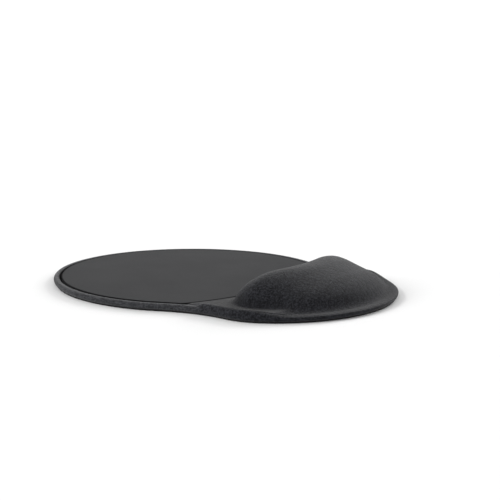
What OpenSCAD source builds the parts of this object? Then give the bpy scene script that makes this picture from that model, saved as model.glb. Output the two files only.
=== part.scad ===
// Mouse pad with a built-in gel wrist rest.
// Millimetres. The origin is on the desk under the middle of the pad.
// +Y points to the mouse end, -Y to the wrist end, +Z is up.

/* [Outline] */
// overall length of the pad, mouse end to wrist end
pad_length = 258; // [215:1:310]
// width across the mouse area
mouse_width = 193; // [155:1:235]
// how much flatter than a circle the two long sides are
side_flatness = 8; // [5:0.5:20]
// how much tighter than a circle the mouse end is
end_tightness = 7.5; // [3:0.5:12]
// width across the wrist end
wrist_width = 158; // [131:1:190]
// corner radius of the wrist end
wrist_corner_r = 41.5; // [34:0.5:55]
// how much flatter than a circle the wrist end is
wrist_end_flatness = 5.5; // [2:0.5:12]
// radius of the shallow waist between the two areas
waist_r = 86; // [60:1:140]

/* [Rim] */
// width of the raised rim around the mouse surface
rim_width = 4.8; // [3.8:0.1:8]
// how far in from the edge the rim is highest
crest_inset = 2.4; // [1.6:0.1:3]
// how far the crest of the rim stands above the mouse surface
rim_proud = 0; // [0:0.1:1.5]
// drop from the crest of the rim to the lip of the groove
rim_fall = 0.5; // [0:0.1:1]
// width of the groove between the rim and the mouse surface
groove_gap = 0.4; // [0.2:0.1:1.5]

/* [Mouse surface] */
// radius of the bowed edge that faces the wrist rest
front_arc_r = 150; // [110:1:260]
// distance from that edge back to the wrist end of the pad
wrist_depth = 79; // [64:1:100]
// corner radius of the mouse surface beside the waist
surface_corner_r = 9; // [5:0.5:16]
// thickness of the woven mouse surface
surface_t = 0.5; // [0.3:0.1:1]
// thickness of the stiff board under it
board_t = 0.7; // [0.4:0.1:1.5]

/* [Wrist rest] */
// height of the wrist dome's top above the desk; its flat facets reach about 0.3 mm less
dome_top = 25; // [20:0.5:30]
// height of the ridge beside the waist
ridge_top = 7.1; // [6.4:0.1:9]
// height of the valley between that ridge and the dome
valley_top = 6; // [5.9:0.1:7]
// distance from the edge to the bottom of the valley
valley_inset = 9; // [6:0.1:12]
// distance from the edge to the foot of the dome beside the waist
dome_inset = 17; // [11:0.5:20]
// height of the low, round border at the wrist end
end_top = 4.6; // [4.2:0.1:6.5]
// how far in from the edge that border levels out
end_crest_inset = 4.4; // [2.4:0.1:6]
// height of the cloth at the foot of the dome at the wrist end
end_foot_top = 6.6; // [6:0.1:8]
// how far in from the edge it reaches that height
end_foot_inset = 13; // [10:0.5:18]
// distance from the edge to the foot of the dome at the wrist end
end_dome_inset = 9.5; // [8:0.5:14]
// where the ridge starts to sink to the low border, from the middle of the mouse area
spread_at = 104; // [96:1:112]
// length over which it sinks
spread_length = 26; // [12:1:36]
// distance from the mouse surface to the foot of the dome
shelf_width = 1.6; // [1.4:0.1:5]
// distance over which the dome rises from its sides
side_slope = 35; // [26:1:44]
// distance over which it rises from the wrist end
end_slope = 57; // [40:1:66]
// distance over which the dome rises from the mouse surface
front_slope = 25.5; // [18:0.5:34]
// shape of the dome's rise: lower values give a steeper foot and a broader top
dome_fullness = 0.55; // [0.45:0.05:0.8]
// where the rim starts to rise beside the waist, from the middle of the mouse area
rise_at = 66.5; // [58:0.5:74]
// length of that rise
rise_length = 7; // [5:0.5:14]

/* [Layers] */
// thickness of the non-slip base sheet
base_t = 1.5; // [1:0.1:3]
// how far the base sheet is set back from the edge
base_inset = 1.7; // [0.8:0.1:3]
// thickness of the knitted cover
cover_t = 0.6; // [0.4:0.1:0.8]
// width of the hem that is turned under the pad
hem_width = 12; // [8:0.5:18]
// width of the cover's margin under the mouse surface
margin_width = 5; // [3:0.5:7]
// thickness of the foam core under the mouse surface
core_t = 1.5; // [1:0.1:3]
// thickness of the film over the gel
film_t = 0.3; // [0.2:0.05:0.5]
// thickness of foam left under the gel
gel_floor = 1.6; // [1:0.1:1.8]

/* [Clearances] */
// gap between one layer and the next
layer_gap = 0.1; // [0.05:0.05:0.15]
// gap between a layer of tape and the fabric edge beside it
tape_gap = 0.5; // [0.2:0.1:1]
// slope of the pocket wall around the gel
pocket_draft = 0.3; // [0.2:0.1:0.6]

/* [Hidden] */
// steps along each arc of half the outline
top_steps = 8;
side_steps = 6;
neck_steps = 3;
tuck_steps = 3;
waist_steps = 3;
corner_steps = 3;
end_steps = 10;
// steps across the dome
dome_steps = 8;

// heights of the layers
hem_z = base_t;
core_z = hem_z + cover_t;
bed_z = core_z + core_t;
board_z = bed_z + cover_t;
weave_z = board_z + board_t;
surface_z = weave_z + surface_t;
rim_top = surface_z + rim_proud;
// height at which the side wall of the cover starts
wall_z = hem_z + 1.1;
// shortest upright stretch of that wall
least_wall = 0.3;
pocket_z = core_z + gel_floor;

// arcs of half the outline, measured from the middle of the mouse area
side_r = mouse_width / 2 + side_flatness;
top_r = mouse_width / 2 - end_tightness;
side_c = [-side_flatness, 0];
top_c = [0, sqrt(pow(side_r - top_r, 2) - pow(side_flatness, 2))];
top_y = top_c[1] + top_r;
end_y = top_y - pad_length;
end_r = wrist_width / 2 + wrist_end_flatness;
end_c = [0, end_y + end_r];
corner_x = wrist_width / 2 - wrist_corner_r;
corner_c = [corner_x, end_c[1] - sqrt(pow(end_r - wrist_corner_r, 2) - pow(corner_x, 2))];
waist_c = meet(side_c, side_r + waist_r, corner_c, wrist_corner_r + waist_r, 1);
front_c = [0, end_y + wrist_depth + front_arc_r];
tuck_c = meet(waist_c, waist_r + rim_width + surface_corner_r,
    front_c, front_arc_r - surface_corner_r, 1);
mid_y = pad_length / 2 - top_y;

// directions in which the arcs meet
side_a = dir(side_c, top_c);
waist_a = dir(side_c, waist_c);
tuck_a = turn(waist_c, tuck_c);
corner_a = turn(waist_c, corner_c);
end_a = dir(end_c, corner_c);
front_a = dir(front_c, tuck_c);
// where the waist and the front edge are split between two runs of steps
waist_split = 0.42;
front_split = 0.16;
waist_split_a = mix(tuck_a, corner_a, waist_split);
front_split_a = mix(front_a, -90, front_split);

function unit(v) = v / norm(v);
function dir(a, b) = atan2(b[1] - a[1], b[0] - a[0]);
function turn(a, b) = (dir(a, b) + 360) % 360;
function at(a) = [cos(a), sin(a)];
function mix(a, b, t) = a + (b - a) * t;
function ease(t) = let (u = max(0, min(1, t))) u * u * (3 - 2 * u);
function flip(p) = [-p[0], p[1]];

// the point at distance p from a and q from b, on the chosen side of the line a to b
function meet(a, p, b, q, side) =
    let (d = norm(b - a), k = (p * p - q * q + d * d) / (2 * d), u = (b - a) / d)
    a + u * k + side * [-u[1], u[0]] * sqrt(max(p * p - k * k, 0));

// stations along an arc: point and outward normal, first point left out
function bend(c, r, a0, a1, n) =
    [for (i = [1:n]) let (a = mix(a0, a1, i / n)) [c + r * at(a), at(a)]];
function hollow(c, r, a0, a1, n) =
    [for (i = [1:n]) let (a = mix(a0, a1, i / n)) [c + r * at(a), -at(a)]];

// stations of half the outline, from the mouse end to the wrist end
outline = concat(
    [[[0, top_y], [0, 1]]],
    bend(top_c, top_r, 90, side_a, top_steps),
    bend(side_c, side_r, side_a, waist_a, side_steps),
    hollow(waist_c, waist_r, waist_a + 180, tuck_a, neck_steps),
    hollow(waist_c, waist_r, tuck_a, waist_split_a, tuck_steps),
    hollow(waist_c, waist_r, waist_split_a, corner_a, waist_steps),
    bend(corner_c, wrist_corner_r, corner_a - 180, end_a, corner_steps),
    bend(end_c, end_r, end_a, -90, end_steps));

// stations of half the groove around the mouse surface, matched one to one
groove = concat(
    [[[0, top_y - rim_width], [0, 1]]],
    bend(top_c, top_r - rim_width, 90, side_a, top_steps),
    bend(side_c, side_r - rim_width, side_a, waist_a, side_steps),
    hollow(waist_c, waist_r + rim_width, waist_a + 180, tuck_a, neck_steps),
    bend(tuck_c, surface_corner_r, tuck_a - 180, front_a, tuck_steps),
    bend(front_c, front_arc_r, front_a, front_split_a, waist_steps),
    bend(front_c, front_arc_r, front_split_a, -90, corner_steps + end_steps));

last = len(outline) - 1;
loop = 2 * last;
neck = top_steps + side_steps + neck_steps;
film_start = neck + tuck_steps;
gel_start = film_start + 1;

// station k of the whole loop, with the left half mirrored from the right
function half(k) = k <= last ? k : loop - k;
function place(p, k) = (k <= last ? p : flip(p)) + [0, mid_y];
function inset(i, d) = outline[i][0] - d * outline[i][1];
function lip(i, d) = groove[i][0] - d * groove[i][1];
function ring(d) = [for (k = [0:loop - 1]) place(inset(half(k), d), k)];
function window(d) = [for (k = [0:loop - 1]) place(lip(half(k), d), k)];

// how far a point lies in from the edge of the wrist area
function from_edge(p) =
    dir(end_c, p) <= end_a ? end_r - norm(p - end_c)
    : p[0] > corner_c[0] && dir(corner_c, p) < corner_a - 180
        ? wrist_corner_r - norm(p - corner_c)
    : norm(p - waist_c) - waist_r;
// how far a point lies from the mouse surface
function from_front(p) =
    dir(front_c, p) > front_a ? norm(p - tuck_c) - surface_corner_r
    : norm(p - front_c) - front_arc_r;
// 0 beside the waist, 1 around the wrist end
function spread(p) = ease((-spread_at - p[1]) / spread_length);
// 0 at the foot of the dome, 1 where it reaches its full height
function into_dome(p) =
    let (s = spread(p),
        a = (from_edge(p) - mix(dome_inset, end_dome_inset, s)) / mix(side_slope, end_slope, s),
        b = (from_front(p) - shelf_width) / front_slope)
    max(0, 1 - norm([max(1 - a, 0), max(1 - b, 0)]));
// height of the cloth around the dome
function ground(p) =
    let (s = spread(p), c = mix(crest_inset, end_crest_inset, s),
        v = mix(valley_inset, end_foot_inset, s))
    mix(mix(ridge_top, end_top, s), mix(valley_top, end_foot_top, s), ease((from_edge(p) - c) / (v - c)));
// height of the cloth over the whole wrist rest, steep at the foot and round at the top
function wrist_z(p) =
    mix(ground(p), dome_top, pow(1 - pow(1 - into_dome(p), 2), dome_fullness));

// 0 beside the mouse surface, 1 beside the wrist dome
function raised(i) = i < neck ? 0 : ease((-rise_at - outline[i][0][1]) / rise_length);
function crest_z(i) =
    mix(rim_top, mix(ridge_top, end_top, spread(outline[i][0])), raised(i));
function crest_in(i) = mix(crest_inset, end_crest_inset, spread(outline[i][0]));
// height of the rounded shoulder below the crest
function round_z(i) = min(crest_inset, crest_z(i) - wall_z - least_wall);

// points across the top at station i, from the crest of the rim to the groove
function across(i) =
    let (
        e = inset(i, crest_in(i)),
        g = lip(i, -1),
        l = norm(g - e),
        u = (g - e) / l,
        w = ease((i - film_start) / waist_steps),
        n = unit(mix(u, -outline[i][1], w)),
        m = unit(mix(-u, groove[i][1], w)),
        foot = min(mix(dome_inset, end_dome_inset, spread(outline[i][0])) - crest_in(i), 0.4 * l),
        wall = min(pocket_draft, 0.04 * l),
        shelf = min(shelf_width, 0.2 * l),
        b = e + foot * n,
        f = g + shelf * m)
    concat([e, e + foot / 3 * n, e + foot * 2 / 3 * n, b - wall * n],
        [for (t = [0:dome_steps]) mix(b, f, (1 - cos(180 * t / dome_steps)) / 2)],
        [f - wall * m, g, lip(i, 0)]);
// height of the cover at point j of station i
function top_z(i, p, j) =
    let (
        w = raised(i),
        e = inset(i, crest_in(i)),
        t = min(1, norm(p - e) / norm(lip(i, 0) - e)),
        low = rim_top - rim_fall * t * t)
    w == 0 ? low : mix(low, wrist_z(p), w);
grid = [for (i = [0:last]) let (row = across(i))
    [for (j = [0:len(row) - 1]) [row[j][0], row[j][1], top_z(i, row[j], j)]]];
// places of the valley, the foot of the dome, its front and the groove's edge in a row
valley_j = 2;
foot_j = 4;
front_j = foot_j + dome_steps;
edge_j = front_j + 2;
lip_j = edge_j + 1;
function spot(k, j, z) = let (p = grid[half(k)][j]) spot_at([p[0], p[1]], k, z);
function spot_at(p, k, z) = concat(place(p, k), [z]);
function height(k, j) = grid[half(k)][j][2];

// point on the rounded shoulder of the rim, at angle a and depth d below the fabric
function shoulder(i, a, d) =
    [inset(i, crest_in(i) + (crest_in(i) - d) * cos(a)),
    crest_z(i) - round_z(i) + (round_z(i) - d) * sin(a)];
function shoulders(k, d, angles) =
    [for (a = angles) let (s = shoulder(half(k), a, d)) spot_at(s[0], k, s[1])];

// outer and inner face of the cover at station k
function cover_outside(k) = let (i = half(k)) concat(
    [spot_at(inset(i, hem_width), k, hem_z),
    spot_at(inset(i, 0.9), k, hem_z),
    spot_at(inset(i, 0.25), k, hem_z + 0.35),
    spot_at(inset(i, 0), k, wall_z)],
    shoulders(k, 0, [180, 140, 112]),
    [for (j = [0:lip_j]) spot(k, j, height(k, j))],
    [spot_at(lip(i, 0.02), k, board_z),
    spot_at(lip(i, margin_width), k, board_z)]);
function cover_inside(k) = let (i = half(k)) concat(
    [spot_at(inset(i, hem_width), k, core_z),
    spot_at(inset(i, 1.2), k, core_z),
    spot_at(inset(i, cover_t + 0.2), k, core_z + 0.15),
    spot_at(inset(i, cover_t), k, wall_z)],
    shoulders(k, cover_t, [180, 140, 112]),
    [for (j = [0:edge_j]) spot(k, j, height(k, j) - cover_t)],
    [spot_at(lip(i, -cover_t), k, height(k, lip_j) - cover_t),
    spot_at(lip(i, -cover_t), k, bed_z),
    spot_at(lip(i, margin_width), k, bed_z)]);

// how far the top of the foam core lies below the top of the cover
under = cover_t + layer_gap;
function has_film(k, j) = half(k) >= film_start && j >= valley_j && j <= edge_j;
function has_gel(k, j) = half(k) >= gel_start && j >= foot_j && j <= front_j;
function core_top(k, j) =
    has_gel(k, j) ? pocket_z
    : height(k, j) - under - (has_film(k, j) ? film_t + layer_gap : 0);
function core_side(k) = let (i = half(k)) concat(
    [spot_at(inset(i, 1.4), k, core_z),
    spot_at(inset(i, under + 0.15), k, core_z + 0.25),
    spot_at(inset(i, under), k, wall_z)],
    shoulders(k, under, [180, 140, 112]),
    [for (j = [0:edge_j]) spot(k, j, core_top(k, j))],
    [spot_at(lip(i, -under), k, bed_z)]);

// triangles of a strip grid with m points in each of n rows;
// columns from back on run the other way, and split along the other diagonal to match
function weave(n, m, wrap, closed, back) = [
    for (r = [0:n - (wrap ? 1 : 2)], c = [0:m - (closed ? 1 : 2)])
        let (a = r * m + c, b = r * m + (c + 1) % m,
            d = (r + 1) % n * m + c, e = (r + 1) % n * m + (c + 1) % m)
        each c < back ? [[a, b, e], [a, e, d]] : [[a, b, d], [b, e, d]]];
// triangles that join the right and left halves at point c of each row
function bridge(m, c, up) = [
    for (i = [0:last - 1])
        let (r0 = i * m + c, r1 = (i + 1) * m + c,
            l0 = (i == 0 ? 0 : loop - i) * m + c, l1 = (loop - i - 1) * m + c)
        each concat(
            i == 0 ? [] : [up ? [r0, l0, l1] : [r0, l1, l0]],
            i == last - 1 ? [] : [up ? [r0, l1, r1] : [r0, r1, l1]])];
// OpenSCAD wants each face listed clockwise as seen from outside
function reversed(faces) = [for (f = faces) [f[2], f[1], f[0]]];

module closed_loop(rows, back) {
    polyhedron(points = [for (r = rows) each r],
        faces = reversed(weave(len(rows), len(rows[0]), true, true, back)));
}

// a solid between a lower and an upper face over the same points of an open strip
module slab(low, high) {
    n = len(low);
    m = len(low[0]);
    rows = [for (i = [0:n - 1]) concat(low[i], [for (j = [m - 1:-1:0]) high[i][j]])];
    polyhedron(points = [for (r = rows) each r],
        faces = concat(weave(n, 2 * m, false, true, m),
            [for (j = [0:m - 2]) each [[j + 1, j, 2 * m - 1 - j], [j + 1, 2 * m - 1 - j, 2 * m - 2 - j]]],
            let (z = (n - 1) * 2 * m)
            [for (j = [0:m - 2]) each [[z + j, z + j + 1, z + 2 * m - 1 - j],
                [z + j + 1, z + 2 * m - 2 - j, z + 2 * m - 1 - j]]]));
}

module sheet(points, z, t) {
    translate([0, 0, z]) linear_extrude(height = t) polygon(points);
}

module base_sheet() {
    color([0.07, 0.07, 0.075]) sheet(ring(base_inset), 0, base_t);
}

module base_tape() {
    color([0.75, 0.75, 0.7]) sheet(ring(hem_width + tape_gap), hem_z, cover_t);
}

module foam_core() {
    rows = [for (k = [0:loop - 1]) core_side(k)];
    m = len(rows[0]);
    color([0.16, 0.16, 0.17])
        polyhedron(points = [for (r = rows) each r],
            faces = reversed(concat(weave(loop, m, true, false, m),
                bridge(m, 0, false), bridge(m, m - 1, true))));
}

module gel_pad() {
    ks = [gel_start:loop - gel_start];
    drop = under + film_t + 2 * layer_gap;
    color([0.55, 0.65, 0.75, 0.8])
        slab([for (k = ks) [for (j = [foot_j:front_j]) spot(k, j, pocket_z + layer_gap)]],
            [for (k = ks) [for (j = [foot_j:front_j]) spot(k, j, height(k, j) - drop)]]);
}

module gel_film() {
    ks = [film_start:loop - film_start];
    color([0.7, 0.72, 0.75, 0.6])
        slab([for (k = ks) [for (j = [valley_j:edge_j]) spot(k, j, height(k, j) - under - film_t)]],
            [for (k = ks) [for (j = [valley_j:edge_j]) spot(k, j, height(k, j) - under)]]);
}

module fabric_cover() {
    color([0.2, 0.205, 0.215])
        closed_loop([for (k = [0:loop - 1]) let (o = cover_outside(k), u = cover_inside(k))
            concat(o, [for (j = [len(u) - 1:-1:0]) u[j]])],
            len(cover_outside(0)));
}

module surface_tape() {
    color([0.75, 0.75, 0.7]) sheet(window(margin_width + tape_gap), bed_z, cover_t);
}

module surface_board() {
    color([0.12, 0.12, 0.125]) sheet(window(groove_gap), board_z, board_t);
}

module mouse_surface() {
    color([0.22, 0.225, 0.235]) sheet(window(groove_gap), weave_z, surface_t);
}

base_sheet();
base_tape();
foam_core();
gel_pad();
gel_film();
fabric_cover();
surface_tape();
surface_board();
mouse_surface();
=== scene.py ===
import math

import bpy
import numpy as np
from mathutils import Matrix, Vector


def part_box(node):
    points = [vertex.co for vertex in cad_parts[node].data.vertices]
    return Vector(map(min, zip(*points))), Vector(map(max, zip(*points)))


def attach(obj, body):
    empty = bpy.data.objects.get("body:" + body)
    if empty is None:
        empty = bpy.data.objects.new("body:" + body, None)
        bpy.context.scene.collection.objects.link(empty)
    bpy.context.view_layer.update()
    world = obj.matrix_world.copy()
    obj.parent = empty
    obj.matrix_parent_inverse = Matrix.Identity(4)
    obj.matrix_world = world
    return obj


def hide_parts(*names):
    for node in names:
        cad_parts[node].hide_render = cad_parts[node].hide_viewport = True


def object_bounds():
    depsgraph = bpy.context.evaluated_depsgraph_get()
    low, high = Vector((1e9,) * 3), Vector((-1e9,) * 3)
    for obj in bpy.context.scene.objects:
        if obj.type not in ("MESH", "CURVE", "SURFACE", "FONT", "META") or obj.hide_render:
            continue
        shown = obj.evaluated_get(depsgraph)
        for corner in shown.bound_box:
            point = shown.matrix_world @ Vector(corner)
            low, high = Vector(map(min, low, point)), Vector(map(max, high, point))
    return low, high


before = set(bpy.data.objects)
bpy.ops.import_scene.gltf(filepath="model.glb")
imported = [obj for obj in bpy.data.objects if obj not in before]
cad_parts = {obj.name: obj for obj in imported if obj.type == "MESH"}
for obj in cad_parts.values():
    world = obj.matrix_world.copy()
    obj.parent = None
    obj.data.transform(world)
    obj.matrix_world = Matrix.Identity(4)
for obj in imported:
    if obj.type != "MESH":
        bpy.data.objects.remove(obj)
cad_bounds = [[float(v) for v in corner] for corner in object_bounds()]

MM = 0.001
cad_low, cad_high = np.array(cad_bounds[0]) / MM, np.array(cad_bounds[1]) / MM


def node_box(name):
    low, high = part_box(name)
    return np.array(low) / MM, np.array(high) / MM


# ---------------------------------------------------------------- sizes, mm
# The overall size and the heights of the layers come from the CAD. The outline, the groove and the dome
# repeat its driving dimensions. The rim, the ridge and the cloth's foot are shaped here for looks.
LENGTH = cad_high[1] - cad_low[1]
MOUSE_W = 193.0
TOP = cad_high[2]
BASE_T = node_box("base_sheet")[1][2]
COVER_T = node_box("base_tape")[1][2] - BASE_T
CORE_Z = BASE_T + COVER_T
BOARD_Z = node_box("surface_board")[0][2]
WEAVE_Z, SURFACE_Z = node_box("mouse_surface")[0][2], node_box("mouse_surface")[1][2]
BED_Z = BOARD_Z - COVER_T
# bottom of the gel's pocket in the foam, and the gap under the gel
POCKET_Z, POCKET_GAP = CORE_Z + 1.6, 0.1

# outline: how far the sides and the two ends are from circles, and the radii of the corners and the waist
SIDE_FLAT, END_TIGHT = 8.0, 7.5
WRIST_W, CORNER_R, END_FLAT, WAIST_R = 158.0, 41.5, 5.5, 86.0
# mouse surface: radius of its bowed front edge, how far that lies from the wrist end, and its corner radius
FRONT_R, WRIST_D, TUCK_R = 150.0, 79.0, 9.0
# base sheet's setback, hem turned under the pad, and margin tucked under the mouse surface
BASE_IN, HEM_W, MARGIN_W = 1.7, 12.0, 5.0

# rim: width, inset of its crest, height of the crest above the mouse surface, and fall to the groove
RIM_W, CREST, PROUD, FALL = 4.8, 2.2, 0.0, 0.9
RIM_Z = SURFACE_Z + PROUD
# groove: width, radius of the lip that rolls into it, and least depth below the lip
GROOVE_GAP, LIP_R, GROOVE_DEEP = 0.4, 0.8, 0.09
# where the rim rises to the ridge beside the waist, from the middle of the mouse area
RISE_AT, RISE_LEN = 66.5, 5.5
# crest of that ridge, and of the low border around the wrist end: inset and height
RIDGE_IN, END_CREST = 3.3, 4.4
RIDGE_Z, END_Z = 7.8, 4.6
# cloth between the ridge or border and the dome: inset and height
VALLEY_IN, END_VALLEY_IN = 8.0, 13.0
SHELF_Z, END_SHELF_Z = 5.5, 6.6
# where the ridge sinks to the low border, from the middle of the mouse area
SPREAD_AT, SPREAD_LEN = 104.0, 26.0
# dome: inset of its foot, shelf in front of it, distances over which it rises, shape of the rise,
# and softness of the fold at its foot
DOME_IN, END_DOME_IN, SHELF_W = 17.0, 9.5, 1.6
SIDE_SLOPE, END_SLOPE, FRONT_SLOPE = 35.0, 57.0, 25.5
DOME_FULL, FOOT_SOFT = 0.55, 0.012
# slight unevenness of the cloth over the dome: rough length, height, number of waves and seed
RIPPLE_LEN, RIPPLE_H, RIPPLE_WAVES, RIPPLE_SEED = 34, 0.10, 7, 5

# thickness of the cloth, and a small step that keeps neighbouring points apart
CLOTH_T, HAIR = 0.5, 0.05
# places across the turned hem, in from the edge
HEM_PLACES = (HEM_W, 8.0, 4.0, 2.4)
# foot of the cloth: its height and inset
FOOT_Z, FOOT_IN = 1.4, 1.5
# how far it rolls under at the rim and around the wrist dome, the roll's height, and its least radius
ROLL_RIM, ROLL_WRIST, ROLL_H, ROLL_LEAST = 1.5, 1.3, 2.2, 0.4
# height of the rounding above the side wall: at the rim, at the ridge and around the wrist end
SHOULDER, RIDGE_ROUND, END_ROUND = 2.6, 3.4, 3.8
# depths below the cloth: film and foam, underside of the film, and gel
FILM_DEPTH, FILM_LOW, GEL_DEPTH = 0.6, 0.85, 0.95
# how far out from the groove the foam's bed ends
BED_OUT = 0.7

# painted shade of the groove: its width on each side of the groove, and the share above which a face takes
# the dark painted-shade material
GROOVE_SHADE_W, SHADE_MATERIAL_FROM = 2.2, 0.6
# painted shade in the fold between the ridge and the dome: start past the crest, length of the fade, end up
# the dome's rise, and how dark it is near the notch and elsewhere, below the share that gives a face the
# painted-shade material
FOLD_AT, FOLD_FADE, FOLD_RISE = 0.5, 2, 0.12
FOLD_SHADE, FAR_FOLD_SHADE = 0.58, 0.3
# painted light on the rim and the ridge, with a painted highlight on the crest: where it fades, from the
# middle of the mouse area, half the width of the painted highlight on the crest, and the share on the wall
# below the rim and below the ridge
NOTCH_FADE_AT, NOTCH_FADE_LEN = 68.0, 24.0
CREST_HIGHLIGHT_W, RIM_WALL, RIDGE_WALL = 2.4, 0.42, 0.2

# stations along each stretch of half the outline, and places in each row over the pad: foot of the dome,
# front of the dome, end of the row
STEPS = {"top": 44, "side": 34, "neck": 10, "tuck": 20, "waist": 20, "corner": 20, "end": 54}
ROW_FOOT, ROW_FRONT, ROW_END = 18, 70, 81
# points up the side of the cover: around the rolled foot, up the wall, over the shoulder
ROLL_POINTS, WALL_POINTS, SHOULDER_POINTS = 9, 7, 15
# places by which the film reaches past the gel at the foot and at the front of the dome, and stations
# of the film left out at each end of the gel
FLANGE_FOOT, FLANGE_FRONT, FLANGE_END = 8, 4, 3
# shares of the waist's arc and of the front arc that are matched to the tuck and to the rest of the waist
TUCK_SHARE, FRONT_SHARE = 0.42, 0.16


# ---------------------------------------------------------------- outline
def meet(a, p, b, q, side):
    """The point at distance p from a and q from b, to the left of the way from a to b if side is 1."""
    d = np.linalg.norm(b - a)
    k = (p * p - q * q + d * d) / (2 * d)
    u = (b - a) / d
    return a + u * k + side * np.array([-u[1], u[0]]) * math.sqrt(max(p * p - k * k, 0))


def angle(a, b):
    """Direction from a to b, from -pi to pi."""
    return math.atan2(b[1] - a[1], b[0] - a[0])


def turn(a, b):
    """Direction from a to b, from 0 to 2 pi."""
    return angle(a, b) % (2 * math.pi)


# centres and radii of the arcs, with the origin in the middle of the mouse area
side_r, top_r = MOUSE_W / 2 + SIDE_FLAT, MOUSE_W / 2 - END_TIGHT
side_c = np.array([-SIDE_FLAT, 0.0])
top_c = np.array([0.0, math.sqrt((side_r - top_r) ** 2 - SIDE_FLAT ** 2)])
top_y = top_c[1] + top_r
end_y = top_y - LENGTH
end_r = WRIST_W / 2 + END_FLAT
end_c = np.array([0.0, end_y + end_r])
corner_x = WRIST_W / 2 - CORNER_R
corner_c = np.array([corner_x, end_c[1] - math.sqrt((end_r - CORNER_R) ** 2 - corner_x ** 2)])
waist_c = meet(side_c, side_r + WAIST_R, corner_c, CORNER_R + WAIST_R, 1)
front_c = np.array([0.0, end_y + WRIST_D + FRONT_R])
tuck_c = meet(waist_c, WAIST_R + RIM_W + TUCK_R, front_c, FRONT_R - TUCK_R, 1)
# from this origin to the frame's, and about the middle of the mouse surface in the frame
MID_Y = LENGTH / 2 - top_y
SURFACE_MID = MID_Y + 8

A_SIDE, A_WAIST = angle(side_c, top_c), angle(side_c, waist_c)
A_TUCK, A_CORNER = turn(waist_c, tuck_c), turn(waist_c, corner_c)
A_END, A_FRONT = angle(end_c, corner_c), angle(front_c, tuck_c)
A_WAIST_SPLIT = A_TUCK + TUCK_SHARE * (A_CORNER - A_TUCK)
A_FRONT_SPLIT = A_FRONT + FRONT_SHARE * (-math.pi / 2 - A_FRONT)


def bend(c, r, a0, a1, n, sign=1):
    """n points along an arc, without its start, and unit normals; sign -1 points them at the centre."""
    a = a0 + (a1 - a0) * np.arange(1, n + 1) / n
    u = np.stack([np.cos(a), np.sin(a)], 1)
    return c + r * u, sign * u


def chain(*parts):
    """Stretches of points and normals joined into one."""
    return np.vstack([p for p, _ in parts]), np.vstack([u for _, u in parts])


def half_lines(k=1):
    """Half the outline and the groove matched to it, from mouse end to wrist end, with 1/k of the stations.

    Each is a pair: points and outward normals.
    """
    n = {key: max(2, v // k) for key, v in STEPS.items()}
    up = np.array([[0.0, 1.0]])
    out = chain((np.array([[0.0, top_y]]), up),
                bend(top_c, top_r, math.pi / 2, A_SIDE, n["top"]),
                bend(side_c, side_r, A_SIDE, A_WAIST, n["side"]),
                bend(waist_c, WAIST_R, A_WAIST + math.pi, A_TUCK, n["neck"], -1),
                bend(waist_c, WAIST_R, A_TUCK, A_WAIST_SPLIT, n["tuck"], -1),
                bend(waist_c, WAIST_R, A_WAIST_SPLIT, A_CORNER, n["waist"], -1),
                bend(corner_c, CORNER_R, A_CORNER - math.pi, A_END, n["corner"]),
                bend(end_c, end_r, A_END, -math.pi / 2, n["end"]))
    inn = chain((np.array([[0.0, top_y - RIM_W]]), up),
                bend(top_c, top_r - RIM_W, math.pi / 2, A_SIDE, n["top"]),
                bend(side_c, side_r - RIM_W, A_SIDE, A_WAIST, n["side"]),
                bend(waist_c, WAIST_R + RIM_W, A_WAIST + math.pi, A_TUCK, n["neck"], -1),
                bend(tuck_c, TUCK_R, A_TUCK - math.pi, A_FRONT, n["tuck"]),
                bend(front_c, FRONT_R, A_FRONT, A_FRONT_SPLIT, n["waist"]),
                bend(front_c, FRONT_R, A_FRONT_SPLIT, -math.pi / 2, n["corner"] + n["end"]))
    return out, inn


def steps_through(last):
    """Number of stations from the mouse end to the end of a stretch."""
    names = list(STEPS)
    return sum(STEPS[key] for key in names[:names.index(last) + 1])


def smooth(t):
    """0 to 1 with a soft start and end."""
    t = np.clip(t, 0, 1)
    return t * t * (3 - 2 * t)


def norm(v):
    """Length of each vector."""
    return np.linalg.norm(v, axis=-1)


def from_edge(p):
    """How far in from the outline of the waist and the wrist end each point is."""
    a_end = np.arctan2(p[..., 1] - end_c[1], p[..., 0] - end_c[0])
    a_cor = np.arctan2(p[..., 1] - corner_c[1], p[..., 0] - corner_c[0])
    in_corner = (p[..., 0] > corner_c[0]) & (a_cor < A_CORNER - math.pi)
    return np.where(a_end <= A_END, end_r - norm(p - end_c),
                    np.where(in_corner, CORNER_R - norm(p - corner_c), norm(p - waist_c) - WAIST_R))


def from_front(p):
    """How far each point is from the front edge of the mouse surface."""
    a = np.arctan2(p[..., 1] - front_c[1], p[..., 0] - front_c[0])
    return np.where(a > A_FRONT, norm(p - tuck_c) - TUCK_R, norm(p - front_c) - FRONT_R)


def spread(p):
    """0 beside the waist, 1 around the wrist end, where the border is lower and rounder."""
    return smooth((-SPREAD_AT - p[..., 1]) / SPREAD_LEN)


def mixed(a, b, t):
    """a where t is 0 and b where it is 1."""
    return a + (b - a) * t


def into_dome(p):
    """0 at the foot of the dome, 1 where it reaches its full height."""
    s = spread(p)
    a = (from_edge(p) - mixed(DOME_IN, END_DOME_IN, s)) / mixed(SIDE_SLOPE, END_SLOPE, s)
    b = (from_front(p) - SHELF_W) / FRONT_SLOPE
    return 1 - np.hypot(np.maximum(1 - a, 0), np.maximum(1 - b, 0))


def ripple(p):
    """Small smooth unevenness, the same every run."""
    rng = np.random.default_rng(RIPPLE_SEED)
    out = 0
    for _ in range(RIPPLE_WAVES):
        a, ph, k = rng.uniform(0, math.pi), rng.uniform(0, 2 * math.pi), rng.uniform(0.6, 1.6)
        along = p[..., 0] * math.cos(a) + p[..., 1] * math.sin(a)
        out = out + np.sin(along * 2 * math.pi * k / RIPPLE_LEN + ph)
    return out / RIPPLE_WAVES


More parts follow.
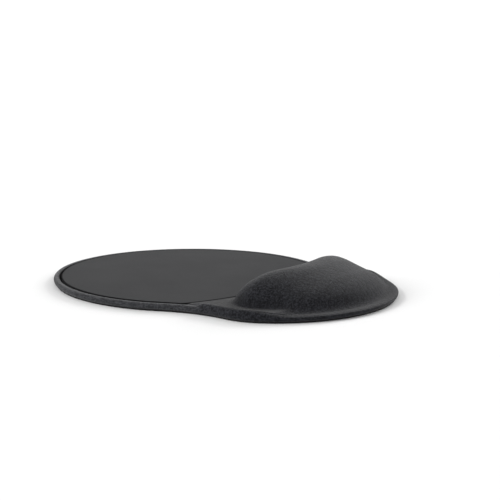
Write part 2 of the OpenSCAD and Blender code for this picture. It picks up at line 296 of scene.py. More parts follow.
def dome_rise(p):
    """Share of the dome's height, with a soft fold at its foot."""
    t = np.clip(FOOT_SOFT * np.logaddexp(0, (into_dome(p) - FOOT_SOFT) / FOOT_SOFT), 0, 1)
    return (1 - (1 - t) ** 2) ** DOME_FULL


def wrist_z(p):
    """Height of the fabric around and over the wrist dome."""
    s, d = spread(p), from_edge(p)
    crest_in, crest_z = mixed(RIDGE_IN, END_CREST, s), mixed(RIDGE_Z, END_Z, s)
    shelf_z, valley_in = mixed(SHELF_Z, END_SHELF_Z, s), mixed(VALLEY_IN, END_VALLEY_IN, s)
    ground = mixed(crest_z, shelf_z, smooth((d - crest_in) / (valley_in - crest_in)))
    return ground + (TOP - ground) * dome_rise(p)


# ---------------------------------------------------------------- mesh tools
# one unit of the flat cloth coordinates is 100 mm
UV_PER_M = 10


def full_loop(half_points):
    """Right half, then the left half mirrored, moved to the frame's origin."""
    left = half_points[-2:0:-1].copy()
    left[..., 0] *= -1
    whole = np.concatenate([half_points, left])
    whole[..., 1] += MID_Y
    return whole


def at_height(half_points, z):
    """Plan points of the right half as a whole loop at one height."""
    return full_loop(np.concatenate([half_points, np.full((len(half_points), 1), z)], 1))


def share_loop(half_values):
    """Values at the points of the right half's rows, mirrored around the whole loop."""
    return full_loop(np.repeat(half_values[..., None], 3, 2))[..., 2].ravel()


def gap_to(loop, points):
    """Distance on the plan from each point to the nearest station of a loop."""
    return np.array([norm(loop[:, :2] - q).min() for q in points])


def make_mesh(name, verts, faces, uvs=None, smooth_shade=True):
    """An object from points, faces and flat cloth coordinates, all in mm."""
    mesh = bpy.data.meshes.new(name)
    points = [tuple(v) for v in np.asarray(verts) * MM]
    mesh.from_pydata(points, [], [tuple(int(i) for i in f) for f in faces])
    mesh.update()
    if uvs is not None:
        layer = mesh.uv_layers.new(name="flat")
        loops = np.empty(len(mesh.loops), dtype=np.int64)
        mesh.loops.foreach_get("vertex_index", loops)
        layer.data.foreach_set("uv", (np.asarray(uvs)[loops] * MM * UV_PER_M).astype(np.float32).ravel())
    mesh.polygons.foreach_set("use_smooth", [smooth_shade] * len(mesh.polygons))
    obj = bpy.data.objects.new(name, mesh)
    bpy.context.scene.collection.objects.link(obj)
    return obj


def add_share(obj, name, values):
    """A value from 0 to 1 at each vertex, for the materials."""
    data = obj.data.attributes.new(name, "FLOAT", "POINT").data
    data.foreach_set("value", np.asarray(values, dtype=np.float32))


def shade_faces(obj):
    """Gives the faces in the painted shade beside the groove the second, dark material."""
    share = np.array([d.value for d in obj.data.attributes["painted_shade"].data])
    for face in obj.data.polygons:
        face.material_index = int(share[list(face.vertices)].mean() > SHADE_MATERIAL_FROM)


def grid_faces(n, m, wrap_rows, wrap_cols):
    """Four-sided faces of a grid of n rows with m points each."""
    rows = n if wrap_rows else n - 1
    cols = m if wrap_cols else m - 1
    r, c = np.meshgrid(np.arange(rows), np.arange(cols), indexing="ij")
    r, c = r.ravel(), c.ravel()
    a, b = r * m + c, r * m + (c + 1) % m
    d, e = (r + 1) % n * m + c, (r + 1) % n * m + (c + 1) % m
    return np.stack([a, b, e, d], 1)


# ---------------------------------------------------------------- fabric cover
def wrist_rows():
    """Rows of points over the top of the pad at each station, from the crest of the rim to the groove.

    P and N are the points and normals of the outline, G and M those of the groove, and E the crest.
    """
    (P, N), (G, M) = half_lines()
    h = len(P)
    raised = smooth((-RISE_AT - P[:, 1]) / RISE_LEN)
    raised[:steps_through("neck") + 1] = 0
    s_at = spread(P)
    crest_in = mixed(CREST, mixed(RIDGE_IN, END_CREST, s_at), raised)
    crest_z = mixed(RIM_Z, mixed(RIDGE_Z, END_Z, s_at), raised)
    E = P - crest_in[:, None] * N
    L = norm(G - E)
    # rows run straight across beside the notch, and square to both edges across the dome
    bent = smooth((np.arange(h) - steps_through("tuck")) / STEPS["waist"])[:, None]
    chord = (G - E) / L[:, None]
    A_dir, C_dir = mixed(chord, -N, bent), mixed(-chord, M, bent)
    A_dir, C_dir = A_dir / norm(A_dir)[:, None], C_dir / norm(C_dir)[:, None]
    # each row has three parts: to just outside the foot of the dome, over the dome, and across the shelf;
    # where the row is short, the first and the last keep to a share of its length
    foot = np.minimum(mixed(DOME_IN, END_DOME_IN, s_at) - 1 - crest_in, 0.4 * L)
    shelf = np.minimum(SHELF_W, 0.2 * L)
    B = E + foot[:, None] * A_dir
    F = G + shelf[:, None] * C_dir
    # places crowd towards both sides of the dome
    t1 = np.linspace(0, 1, ROW_FOOT, endpoint=False)
    t2 = (1 - np.cos(np.linspace(0, math.pi, ROW_FRONT - ROW_FOOT, endpoint=False))) / 2
    t2 = mixed(t2, np.linspace(0, 1, len(t2), endpoint=False), 0.45)
    t3 = np.linspace(0, 1, ROW_END - ROW_FRONT)
    rows = np.concatenate([E[:, None] + (B - E)[:, None] * t1[None, :, None],
                           B[:, None] + (F - B)[:, None] * t2[None, :, None],
                           F[:, None] + (G - F)[:, None] * t3[None, :, None]], 1)
    w = raised[:, None]
    t = np.clip(norm(rows - E[:, None]) / np.maximum(L[:, None], 1e-6), 0, 1)
    low = RIM_Z - FALL * t ** 1.8
    high = wrist_z(rows) + RIPPLE_H * ripple(rows) * smooth(into_dome(rows) * 3)
    z = mixed(low, np.where(w > 0, high, low), w)
    # the lip rolls over into the groove
    roll = np.clip(1 - norm(rows - G[:, None]) / LIP_R, 0, 1)
    z = z - LIP_R * (1 - np.sqrt(np.maximum(1 - roll ** 2, 0)))
    return {"P": P, "N": N, "G": G, "M": M, "E": E, "crest_in": crest_in, "crest_z": crest_z,
            "rows": rows, "z": z, "raised": raised}


def side_profile(k, depth=0.0):
    """Plan points and heights from under the pad up the wall to the crest, at a depth below the cloth."""
    P, N, h = k["P"], k["N"], len(k["P"])
    prof = []
    if depth == 0:
        for d in HEM_PLACES:
            prof.append((P - d * N, np.full(h, BASE_T)))
        for d, z in ((FOOT_IN + HAIR, BASE_T - HAIR), (FOOT_IN, (BASE_T + FOOT_Z) / 2)):
            prof.append((P - d * N, np.full(h, z)))
    else:
        prof.append((P - (depth + ROLL_RIM) * N, np.full(h, CORE_Z)))
    foot_z = FOOT_Z if depth == 0 else CORE_Z
    r = np.maximum(mixed(ROLL_RIM, ROLL_WRIST, k["raised"]) - depth, ROLL_LEAST)
    rise = r if depth else np.full(h, ROLL_H)
    for a in np.linspace(-90, 0, ROLL_POINTS)[1 if depth else 0:]:
        turn_in = depth + r * (1 - math.cos(math.radians(a)))
        prof.append((P - turn_in[:, None] * N, foot_z + rise * (1 + math.sin(math.radians(a)))))
    s_at = spread(P)
    z0 = foot_z + rise
    shoulder = mixed(mixed(SHOULDER, RIDGE_ROUND, k["raised"]), END_ROUND, s_at)
    z1 = np.maximum(k["crest_z"] - shoulder, z0 + HAIR)
    round_z = k["crest_z"] - depth - z1
    round_in = k["crest_in"] - depth
    for f in np.linspace(0, 1, WALL_POINTS)[1:-1]:
        prof.append((P - depth * N, z0 + (z1 - z0) * f))
    for a in np.linspace(0, 90, SHOULDER_POINTS)[:-1]:
        c, q = math.cos(math.radians(a)), math.sin(math.radians(a))
        prof.append((P - (depth + round_in * (1 - c))[:, None] * N, z1 + round_z * q))
    return np.stack([p for p, _ in prof], 1), np.stack([q for _, q in prof], 1)


def build_cover(k):
    """The knitted cover, as one cloth from the turned hem to the margin under the mouse surface."""
    P, N, G, M, E, rows, z = (k[n] for n in ("P", "N", "G", "M", "E", "rows", "z"))
    h = len(P)
    side_xy, side_z = side_profile(k)
    # inside the groove: down the wall and in under the mouse surface
    lip_z = z[:, -1]
    deep = np.minimum(lip_z - GROOVE_DEEP, BOARD_Z + 0.02)
    g_xy = [G] * 3 + [G - s * M for s in (0.6, MARGIN_W)]
    g_z = [lip_z + (deep - lip_z) * s for s in (0.35, 0.7, 1.0)] + [np.full(h, BOARD_Z)] * 2
    xy = np.concatenate([side_xy, rows, np.stack(g_xy, 1)], 1)
    zz = np.concatenate([side_z, z, np.stack(g_z, 1)], 1)
    top_pts = np.concatenate([xy, zz[..., None]], 2)
    # flat coordinates of the knit: the wall is laid out beyond the crest
    n_side = side_xy.shape[1]
    line = np.concatenate([top_pts[:, :n_side], top_pts[:, n_side:n_side + 1]], 1)
    back = np.cumsum(norm(np.diff(line, axis=1))[:, ::-1], 1)[:, ::-1]
    flat = xy.copy()
    flat[:, :n_side] = E[:, None] + back[..., None] * N[:, None]
    whole = full_loop(top_pts)
    flat_whole = full_loop(np.concatenate([flat, np.zeros(flat.shape[:2] + (1,))], 2))[..., :2]
    faces = grid_faces(len(whole), top_pts.shape[1], True, False)
    cover = make_mesh("fabric_cover_knit", whole.reshape(-1, 3), faces, flat_whole.reshape(-1, 2))
    # painted shade of the groove: 1 in the groove, fading out beside it
    painted_shade = 1 - smooth(norm(xy - G[:, None]) / GROOVE_SHADE_W)
    # painted shade in the fold between the border and the dome too
    s_at = spread(xy)
    d = from_edge(xy)
    fold = smooth((d - mixed(RIDGE_IN, END_CREST, s_at) - FOLD_AT) / FOLD_FADE)
    fold = fold * (1 - smooth(into_dome(xy) / FOLD_RISE)) * (1 - s_at)
    fold = fold * np.minimum(4 * k["raised"], 1)[:, None]
    near_notch = 1 - smooth((-NOTCH_FADE_AT - xy[..., 1]) / NOTCH_FADE_LEN)
    painted_shade = np.maximum(painted_shade, mixed(FAR_FOLD_SHADE, FOLD_SHADE, near_notch) * fold)
    painted_shade[:, :n_side] = 0
    add_share(cover, "painted_shade", share_loop(painted_shade))
    # painted light: lightest on the crest, a painted highlight, less on the wall, and none in the fold
    inset = norm(xy - P[:, None])
    on_crest = 1 - smooth(np.abs(inset - k["crest_in"][:, None]) / CREST_HIGHLIGHT_W)
    on_wall = mixed(RIM_WALL, RIDGE_WALL, k["raised"][:, None])
    painted_light = near_notch * mixed(on_wall, 1, on_crest) * (1 - fold)
    add_share(cover, "painted_light", share_loop(painted_light))
    solid = cover.modifiers.new("thickness", "SOLIDIFY")
    solid.thickness = CLOTH_T * MM
    solid.offset = -1
    bpy.context.view_layer.objects.active = cover
    with bpy.context.temp_override(object=cover, active_object=cover, selected_objects=[cover]):
        bpy.ops.object.modifier_apply(modifier="thickness")
    return cover


# ---------------------------------------------------------------- soft pieces under the cover
def sunk(points, depth):
    """A surface of the whole loop moved in below itself, square to the cloth."""
    along = np.roll(points, -1, 0) - np.roll(points, 1, 0)
    over = np.gradient(points, axis=1)
    n = np.cross(over, along)
    n /= np.maximum(norm(n), 1e-9)[..., None]
    return points - depth * n


def slab(name, top, low):
    """A closed piece between two grids over the same open strip of stations."""
    n, m = top.shape[:2]
    faces = grid_faces(n, m, False, False)
    idx = np.arange(n * m).reshape(n, m)
    rim = np.concatenate([idx[0], idx[1:, -1], idx[-1, -2::-1], idx[-2:0:-1, 0]])
    nxt = np.roll(rim, -1)
    sides = np.stack([nxt, rim, rim + n * m, nxt + n * m], 1)
    verts = np.vstack([top.reshape(-1, 3), low.reshape(-1, 3)])
    return make_mesh(name, verts, np.vstack([faces, faces[:, ::-1] + n * m, sides]))


def around(ids):
    """The run from one before the first to one after the last of some stations or places."""
    return slice(ids[0] - 1, ids[-1] + 2)


def build_soft_layers(k):
    """Film, gel and foam core, nested under the cover on a coarser grid of the same rows."""
    h = len(k["P"])
    top = full_loop(np.concatenate([k["rows"], k["z"][..., None]], 2))
    n = len(top)
    # stations and places of the film and of the gel, which is smaller so that the film has a flange
    first = steps_through("tuck")
    film_s = np.arange(first, n - first + 1, 2)
    gel_s = film_s[FLANGE_END:-FLANGE_END]
    film_c = np.arange(ROW_FOOT - FLANGE_FOOT, ROW_FRONT + FLANGE_FRONT + 1, 2)
    gel_c = np.arange(ROW_FOOT, ROW_FRONT + 1, 2)
    core_top, film_low, under_film = (sunk(top, depth) for depth in (FILM_DEPTH, FILM_LOW, GEL_DEPTH))
    film = slab("gel_film_skin", core_top[film_s][:, film_c], film_low[film_s][:, film_c])
    gel_top = under_film[gel_s][:, gel_c]
    gel_low = gel_top.copy()
    gel_low[..., 2] = POCKET_Z + POCKET_GAP
    gel = slab("gel_pad_block", gel_top, gel_low)
    # the core follows the cloth, is lower under the film, and has a pocket for the gel
    side_xy, side_z = side_profile(k, FILM_DEPTH)
    side = full_loop(np.concatenate([side_xy, side_z[..., None]], 2))
    bed, pocket = (around(film_s), around(film_c)), (around(gel_s), around(gel_c))
    core_top[bed] = under_film[bed]
    core_top[(*pocket, 2)] = POCKET_Z
    lip = full_loop(np.concatenate([k["G"] + BED_OUT * k["M"], np.full((h, 1), BED_Z)], 1)[:, None])
    body = np.concatenate([side, core_top[:, :-1], lip], 1)[::2]
    core = capped("foam_core_block", body, [0, 0, CORE_Z], [0, SURFACE_MID, BED_Z])
    return film, gel, core


def capped(name, body, low_c, high_c):
    """A closed piece from a loop of rows, closed to a point in the middle below and above."""
    n, m = body.shape[:2]
    verts = np.vstack([body.reshape(-1, 3), [low_c, high_c]])
    faces = [tuple(f) for f in grid_faces(n, m, True, False)]
    for r in range(n):
        faces.append((r * m, (r + 1) % n * m, n * m))
        faces.append((r * m + m - 1, n * m + 1, (r + 1) % n * m + m - 1))
    return make_mesh(name, verts, faces, verts[:, :2])


def disc(name, half_pts, half_nrm, levels, centre):
    """A flat sheet made of rings, filled in towards a centre.

    Levels are pairs of inset and height, from the underside round the edge to the top.
    """
    rings = [at_height(half_pts - d * half_nrm, z) for d, z in levels]
    fills = (0.93, 0.8, 0.62, 0.42, 0.2)
    c = np.array([centre[0], centre[1], 0.0])

    def scaled(ring, s):
        out = c + (ring - c) * s
        out[:, 2] = ring[:, 2]
        return out

    rings = [scaled(rings[0], s) for s in reversed(fills)] + rings + [scaled(rings[-1], s) for s in fills]
    body = np.stack(rings, 1)
    return capped(name, body, [c[0], c[1], rings[0][0, 2]], [c[0], c[1], rings[-1][0, 2]])


# ---------------------------------------------------------------- flat sheets
def build_surface(groove, outward):
    """The woven mouse surface, a thin sheet inside the groove with a rounded top edge."""
    edge_r = 0.45
    levels = [(3, WEAVE_Z), (0.1, WEAVE_Z)]
    for a in (math.radians(degrees) for degrees in (0, 20, 40, 60, 75, 90)):
        levels.append((edge_r * (1 - math.cos(a)), SURFACE_Z - edge_r * (1 - math.sin(a))))
    levels += [(d, SURFACE_Z) for d in (0.8, 1.2, 1.8, 3, 6)]
    levels = [(GROOVE_GAP + d, z) for d, z in levels]
    sheet = disc("mouse_surface_weave", groove, outward, levels, (0, SURFACE_MID))
    spots = np.array([v.co[:2] for v in sheet.data.vertices]) / MM
    near = gap_to(at_height(groove, 0.0), spots)
    # painted shade of the groove on the surface's edge, fading out inwards
    add_share(sheet, "painted_shade", 1 - smooth((near - GROOVE_GAP) / GROOVE_SHADE_W))
    return sheet


def grip_dots(outline, outward, field):
    """Small round dots in a staggered grid under the base sheet, from its raised field down to the desk."""
    pitch, r_dot, sides = 5.0, 1.35, 12
    margin, clear = BASE_IN + 5, 0.8
    edge = at_height(outline - margin * outward, 0.0)[:, :2]
    columns = math.ceil(MOUSE_W / 2 / pitch)
    lanes = math.ceil(LENGTH / 2 / (pitch * math.sqrt(0.75))) + 1
    xs = np.arange(-columns, columns + 1) * pitch
    ys = np.arange(-lanes, lanes + 1) * pitch * math.sqrt(0.75)
    spots = np.array([(x + (j % 2) * pitch / 2, y) for j, y in enumerate(ys) for x in xs])
    spots = spots[inside(edge, spots) & (gap_to(edge, spots) > r_dot + clear)]
    # one dot, as rings of radius and height from inside the sheet to the desk
    turns = np.arange(sides) * 2 * math.pi / sides
    ring = np.stack([np.cos(turns), np.sin(turns)], 1)
    shape = [(r_dot + 0.1, field + 0.3), (r_dot, field - 0.05), (r_dot * 0.92, field - 0.25),
             (r_dot * 0.7, 0.03), (r_dot * 0.4, 0)]
    one = np.concatenate([np.concatenate([r * ring, np.full((sides, 1), z)], 1) for r, z in shape])
    cells = [f[::-1] for f in dot_faces(len(shape), sides)]
    top_cap = tuple(range(sides))
    low_cap = tuple(range((len(shape) - 1) * sides, len(shape) * sides))[::-1]
    cells += [top_cap, low_cap]
    verts = np.concatenate([one + [q[0], q[1], 0] for q in spots])
    faces = [tuple(i + n * len(one) for i in f) for n in range(len(spots)) for f in cells]
    return make_mesh("dots", verts, faces, verts[:, :2])


def dot_faces(rings, sides):
    """Four-sided faces between rings of points."""
    faces = []
    for a in range(0, (rings - 1) * sides, sides):
        for c in range(sides):
            d = (c + 1) % sides
            faces.append((a + c, a + d, a + sides + d, a + sides + c))
    return faces


def build_base(outline, outward):
    """Rubber sheet with a flat margin on the desk, a slightly raised field and grip dots over the field."""
    field = 0.4
    levels = [(9, field), (5.2, field), (4.8, 0.1), (4.6, 0), (0.5, 0), (0.15, 0.15), (0, 0.45),
              (0, BASE_T - 0.2), (0.1, BASE_T - 0.05), (0.4, BASE_T - 0.01), (6, BASE_T - 0.01)]
    sheet = disc("base_grip", outline, outward, [(BASE_IN + d, z) for d, z in levels], (0, 0))
    dots = grip_dots(outline, outward, field)
    parts = [sheet, dots]
    with bpy.context.temp_override(active_object=sheet, object=sheet, selected_editable_objects=parts):
        bpy.ops.object.join()
    return sheet


def inside(loop, pts):
    """Which points lie inside a closed loop, by counting the edges a ray towards +X crosses."""
    a, b = loop, np.roll(loop, -1, 0)
    x, y = pts[:, 0, None], pts[:, 1, None]
    crosses = (a[:, 1] > y) != (b[:, 1] > y)
    rise = np.where(a[:, 1] == b[:, 1], 1e-9, b[:, 1] - a[:, 1])
    at = a[:, 0] + (y - a[:, 1]) / rise * (b[:, 0] - a[:, 0])
    return (crosses & (x < at)).sum(1) % 2 == 1


layout = wrist_rows()
cover = build_cover(layout)
film, gel, core = build_soft_layers(layout)
(edge_points, edge_normals), (groove_points, groove_normals) = half_lines(2)
surface = build_surface(groove_points, groove_normals)
base = build_base(edge_points, edge_normals)


# ---------------------------------------------------------------- materials
# dark colour of the painted shade in the groove and the fold, and the lighter knit colours of the painted
# light and highlight on the rim and the ridge
SHADE_COLOUR = (0.006, 0.006, 0.0065)
PAINTED_LIT_DARK, PAINTED_LIT_LIGHT = (0.014, 0.0142, 0.0155), (0.086, 0.0872, 0.093)


class Nodes:
    """A material under construction, with its shader and short calls for the nodes around it."""

    def __init__(self, name):
        self.mat = bpy.data.materials.new(name)
        self.mat.use_nodes = True
        self.tree = self.mat.node_tree
        self.tree.nodes.clear()
        self.out = self.add("ShaderNodeOutputMaterial")
        self.bsdf = self.add("ShaderNodeBsdfPrincipled")
        self.tree.links.new(self.bsdf.outputs[0], self.out.inputs[0])

    def add(self, kind, **props):
        node = self.tree.nodes.new(kind)
        for key, value in props.items():
            setattr(node, key, value)
        return node

    def put(self, value, socket):
        """Links another node's output to a socket, or sets the socket to a number or a colour."""
        if isinstance(value, bpy.types.NodeSocket):
            self.tree.links.new(value, socket)
        else:
            socket.default_value = value

    def shader(self, **values):
        """Sets inputs of the shader by their short names in SHADER_INPUTS."""
        for name, value in values.items():
            self.put(value, self.bsdf.inputs[SHADER_INPUTS[name]])

    def math(self, op, a, b=None, c=None, clamp=False):
        node = self.add("ShaderNodeMath", operation=op, use_clamp=clamp)
        for value, socket in zip((a, b, c), node.inputs):
            if value is not None:
                self.put(value, socket)
        return node.outputs[0]

    def place(self):
        """Position on the object."""
        return self.add("ShaderNodeTexCoord").outputs["Object"]

    def flat(self):
        """Position on the flat cloth, as two outputs."""
        parts = self.add("ShaderNodeSeparateXYZ")
        self.put(self.add("ShaderNodeUVMap", uv_map="flat").outputs[0], parts.inputs[0])
        return parts.outputs[0], parts.outputs[1]

    def share(self, name):
        """A value stored at the points by add_share."""
        return self.add("ShaderNodeAttribute", attribute_name=name).outputs["Fac"]

    def noise(self, vec, scale, detail=2.0, rough=0.5):
        node = self.add("ShaderNodeTexNoise")
        self.put(vec, node.inputs["Vector"])
        node.inputs["Scale"].default_value = scale
        node.inputs["Detail"].default_value = detail
        node.inputs["Roughness"].default_value = rough
        return node.outputs[0]

    def mix(self, fac, a, b):
        """a where fac is 0 and b where it is 1; each is a colour or an output."""
        node = self.add("ShaderNodeMix", data_type="RGBA")
        self.put(fac, node.inputs[0])
        self.put(a if not isinstance(a, tuple) else (*a, 1), node.inputs[6])
        self.put(b if not isinstance(b, tuple) else (*b, 1), node.inputs[7])
        return node.outputs[2]

    def painted_shade(self, colour):
        """The colour, darkened by the painted shade beside the groove and in the fold."""
        return self.mix(self.share("painted_shade"), colour, SHADE_COLOUR)

    def bump(self, height, distance, strength=1.0, normal=None):
        """Normal bent by a height, whose full depth is a distance in metres."""
        node = self.add("ShaderNodeBump")
        node.inputs["Distance"].default_value = distance
        node.inputs["Strength"].default_value = strength
        self.put(height, node.inputs["Height"])
        if normal is not None:
            self.put(normal, node.inputs["Normal"])
        return node.outputs[0]


SHADER_INPUTS = {"colour": "Base Color", "rough": "Roughness", "normal": "Normal",
                 "gloss": "Specular IOR Level", "clear": "Transmission Weight",
                 "sheen": "Sheen Weight", "sheen_rough": "Sheen Roughness"}


def knit_material(name, dark, light):
    """Stretch knit: a heathered yarn colour, with faint rows of V-shaped loops laid out on the flat cloth."""
    # width of a loop in units of the flat cloth, how far its V rises, and sizes of the noises, per metre
    pitch, slant = 0.085, 1.1
    fine_scale, heather_scale, wide_scale = 1400, 930, 28
    k = Nodes(name)
    across, along = k.flat()
    u, v = k.math("MULTIPLY", across, 1 / pitch), k.math("MULTIPLY", along, 1 / pitch)
    vee = k.math("ADD", v, k.math("MULTIPLY", k.math("PINGPONG", u, 0.5), slant))
    row = k.math("ABSOLUTE", k.math("SINE", k.math("MULTIPLY", vee, math.pi)))
    wale = k.math("ABSOLUTE", k.math("SINE", k.math("MULTIPLY", u, 2 * math.pi)))
    loops = k.math("MULTIPLY", k.math("POWER", row, 0.6), k.math("MULTIPLY_ADD", wale, 0.45, 0.55))
    place = k.place()
    fine = k.noise(place, fine_scale, 2.0, 0.6)
    heather = k.noise(place, heather_scale, 3.0, 0.75)
    wide = k.noise(place, wide_scale, 3.0, 0.5)
    # the yarn's tone is stretched to full contrast, then takes in some of the loops and of the wide noise
    contrast, middle = 8.5, 0.38
    tone = k.math("ADD", k.math("MULTIPLY", heather, 0.75), k.math("MULTIPLY", fine, 0.25))
    tone = k.math("MULTIPLY_ADD", k.math("SUBTRACT", tone, 0.5), contrast, middle, clamp=True)
    tone = k.math("ADD", k.math("MULTIPLY", tone, 0.8), k.math("MULTIPLY", loops, 0.2))
    tone = k.math("ADD", tone, k.math("MULTIPLY", k.math("SUBTRACT", wide, 0.5), 0.35), clamp=True)
    # painted light: the knit turns to the lighter colours on the rim and the ridge's crest; painted shade
    # darkens it at the groove and in the fold
    plain_knit, painted_lit = k.mix(tone, dark, light), k.mix(tone, PAINTED_LIT_DARK, PAINTED_LIT_LIGHT)
    k.shader(colour=k.painted_shade(k.mix(k.share("painted_light"), plain_knit, painted_lit)),
             rough=k.math("MULTIPLY_ADD", heather, 0.18, 0.82 - 0.09),
             normal=k.bump(heather, 0.00035, 0.9, k.bump(loops, 0.00012, 0.9)),
             sheen=0.13, sheen_rough=0.45, gloss=0.05)
    return k.mat


def weave_material(name, dark, light):
    """Close weave: fine noise in the yarn, with a faint check laid out on the flat cloth."""
    pitch = 0.055
    k = Nodes(name)
    waves = [k.math("SINE", k.math("MULTIPLY", way, 2 * math.pi / pitch)) for way in k.flat()]
    check = k.math("MULTIPLY_ADD", k.math("MULTIPLY", *waves), 0.5, 0.5)
    place = k.place()
    fine = k.noise(place, 1800, 2.0, 0.6)
    wide = k.noise(place, 22, 3.0, 0.5)
    tone = k.math("ADD", k.math("MULTIPLY", fine, 0.6), k.math("MULTIPLY", check, 0.06))
    tone = k.math("ADD", tone, k.math("MULTIPLY", wide, 0.35), clamp=True)
    k.shader(colour=k.painted_shade(k.mix(tone, dark, light)),
             rough=k.math("MULTIPLY_ADD", wide, 0.14, 0.50),
             normal=k.bump(fine, 0.00008, 0.5, k.bump(check, 0.00002, 0.5)),
             sheen=0.02, sheen_rough=0.4, gloss=0.045)
    return k.mat


def groove_shade_material(name, dark, light):
    """Painted shade of the groove: dark cloth without sheen beside it."""
    k = Nodes(name)
    grain = k.noise(k.place(), 900, 3.0, 0.6)
    k.shader(colour=k.mix(grain, dark, light), rough=k.math("MULTIPLY_ADD", grain, 0.2, 0.7),
             normal=k.bump(grain, 0.0001, 0.5), gloss=0.02)
    return k.mat


def grip_material(name, dark, light):
    """Black rubber with a fine grain and slightly uneven tone."""
    k = Nodes(name)
    place = k.place()
    fine = k.noise(place, 900, 3.0, 0.6)
    wide = k.noise(place, 30, 3.0, 0.5)
    k.shader(colour=k.mix(wide, dark, light), rough=k.math("MULTIPLY_ADD", fine, 0.2, 0.55),
             normal=k.bump(fine, 0.0001, 0.6), gloss=0.12)
    return k.mat


def plain_material(name, dark, light, scale, rough, bump, clear=0.0):
    """One grain between two colours, for the layers inside."""
    k = Nodes(name)
    grain = k.noise(k.place(), scale, 4.0, 0.6)
    k.shader(colour=k.mix(grain, dark, light), rough=k.math("MULTIPLY_ADD", grain, 0.2, rough),
             normal=k.bump(grain, bump, 0.6), clear=clear)
    return k.mat


knit = knit_material("charcoal_knit", (0.0022, 0.0023, 0.0030), (0.0245, 0.0251, 0.0296))
weave = weave_material("charcoal_weave", (0.017, 0.0172, 0.0185), (0.027, 0.0274, 0.029))
# the dark painted shade beside the groove, a material of its own
painted_shade = groove_shade_material("painted_groove_shade", (0.004, 0.004, 0.0045), (0.010, 0.010, 0.011))
grip = grip_material("black_grip", (0.006, 0.006, 0.0065), (0.013, 0.013, 0.0135))
foam = plain_material("closed_foam", (0.01, 0.01, 0.011), (0.03, 0.03, 0.032), 700, 0.75, 0.0002)
tape = plain_material("tape_layer", (0.5, 0.5, 0.46), (0.62, 0.62, 0.58), 120, 0.5, 0.00005)
black = plain_material("black_board", (0.008, 0.008, 0.009), (0.014, 0.014, 0.015), 300, 0.45, 0.00005)
clear = plain_material("clear_film", (0.6, 0.63, 0.66), (0.7, 0.72, 0.75), 90, 0.2, 0.00002, 0.8)
soft = plain_material("soft_gel", (0.35, 0.45, 0.55), (0.45, 0.55, 0.62), 40, 0.12, 0.00002, 0.9)


def dress(obj, *mats):
    """Gives a new piece its materials."""
    obj.data.materials.clear()
    for mat in mats:
        obj.data.materials.append(mat)


def dress_node(name, mat):
    """Gives a piece that stays as the CAD made it one material."""
    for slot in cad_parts[name].material_slots:
        slot.material = mat


for obj, mats, node, slot in ((cover, (knit, painted_shade), "fabric_cover", "cover_fabric"),
                              (surface, (weave, painted_shade), "mouse_surface", "surface_fabric"),
                              (base, (grip,), "base_sheet", "base_rubber"),
                              (film, (clear,), "gel_film", "film"),
                              (gel, (soft,), "gel_pad", "gel"),
                              (core, (foam,), "foam_core", "foam")):
    dress(obj, *mats)
    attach(obj, "root")
    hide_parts(node)
# only now, because dress() resets which material each face has
# faces deep in the painted shade of the groove take the dark painted-shade material
for obj in (cover, surface):
    shade_faces(obj)
for name, mat in (("base_tape", tape), ("surface_tape", tape), ("surface_board", black)):
    dress_node(name, mat)


# ---------------------------------------------------------------- stage
# lights: name, direction and strength; then how wide they look, in degrees
LIGHTS = (("left_light", (0.86, -0.48, -0.47), 2.3), ("right_light", (-1.0, 0.12, -0.42), 1.6))
LIGHT_WIDTH = 30
# strength of the white room at the horizon and overhead
ROOM_LOW, ROOM_HIGH = 1.2, 0.45
# floor: how far it starts in from the base sheet's edge, radii of its rings in mm, and its grey
FLOOR_IN, FLOOR_RINGS, FLOOR_GREY = 0.4, (400.0, 1500.0, 40 / MM), 0.85


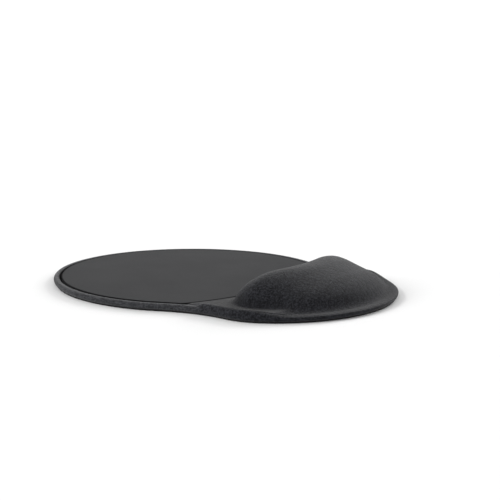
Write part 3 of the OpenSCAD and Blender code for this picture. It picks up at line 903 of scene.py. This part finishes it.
def build_floor():
    """A pale floor, cut out under the base so that the underside can be looked at from below."""
    hole = at_height(edge_points - (BASE_IN + FLOOR_IN) * edge_normals, 0.0)
    way = np.arctan2(hole[:, 1], hole[:, 0])
    rings = [hole]
    for r in FLOOR_RINGS:
        rings.append(np.stack([r * np.cos(way), r * np.sin(way), np.zeros(len(hole))], 1))
    faces = grid_faces(len(hole), len(rings), True, False)
    obj = make_mesh("studio_floor", np.stack(rings, 1).reshape(-1, 3), faces[:, ::-1], None, False)
    k = Nodes("pale_floor")
    k.shader(colour=(FLOOR_GREY, FLOOR_GREY, FLOOR_GREY, 1), rough=0.9, gloss=0.1)
    obj.data.materials.append(k.mat)


def build_light():
    """A white room, brighter towards the horizon, with two broad lights, the weaker one from the right."""
    world = bpy.data.worlds.new("studio")
    bpy.context.scene.world = world
    world.use_nodes = True
    tree, back = world.node_tree, world.node_tree.nodes["Background"]
    way = tree.nodes.new("ShaderNodeTexCoord")
    parts = tree.nodes.new("ShaderNodeSeparateXYZ")
    tree.links.new(way.outputs["Generated"], parts.inputs[0])
    fade = tree.nodes.new("ShaderNodeMapRange")
    tree.links.new(parts.outputs[2], fade.inputs["Value"])
    fade.inputs["To Min"].default_value = ROOM_LOW
    fade.inputs["To Max"].default_value = ROOM_HIGH
    tree.links.new(fade.outputs[0], back.inputs["Strength"])
    back.inputs["Color"].default_value = (1, 1, 1, 1)
    for name, way, power in LIGHTS:
        data = bpy.data.lights.new(name, "SUN")
        data.angle = math.radians(LIGHT_WIDTH)
        data.energy = power
        light = bpy.data.objects.new(name, data)
        light.rotation_euler = Vector(way).to_track_quat("-Z", "Y").to_euler()
        bpy.context.scene.collection.objects.link(light)


bpy.context.scene.view_settings.view_transform = "Standard"
build_floor()
build_light()


# ---------------------------------------------------------------- camera
# place in metres, heading from +Y and angle below the horizon in degrees, and lens in mm on a 36 mm sensor
CAMERA_AT = (-0.5474, -0.4269, 0.1536)
HEADING, DIP = -53.7, 10.495
LENS, SENSOR_W = 72.2, 36


def build_camera():
    """The photograph's view, low over the desk, with the wrist end at the right."""
    data = bpy.data.cameras.new("camera")
    data.sensor_width = SENSOR_W
    data.lens = LENS
    data.clip_start = 0.01
    data.clip_end = 50
    obj = bpy.data.objects.new("camera", data)
    obj.location = CAMERA_AT
    obj.rotation_euler = (math.pi / 2 - math.radians(DIP), 0, math.radians(HEADING))
    bpy.context.scene.collection.objects.link(obj)
    bpy.context.scene.camera = obj


build_camera()
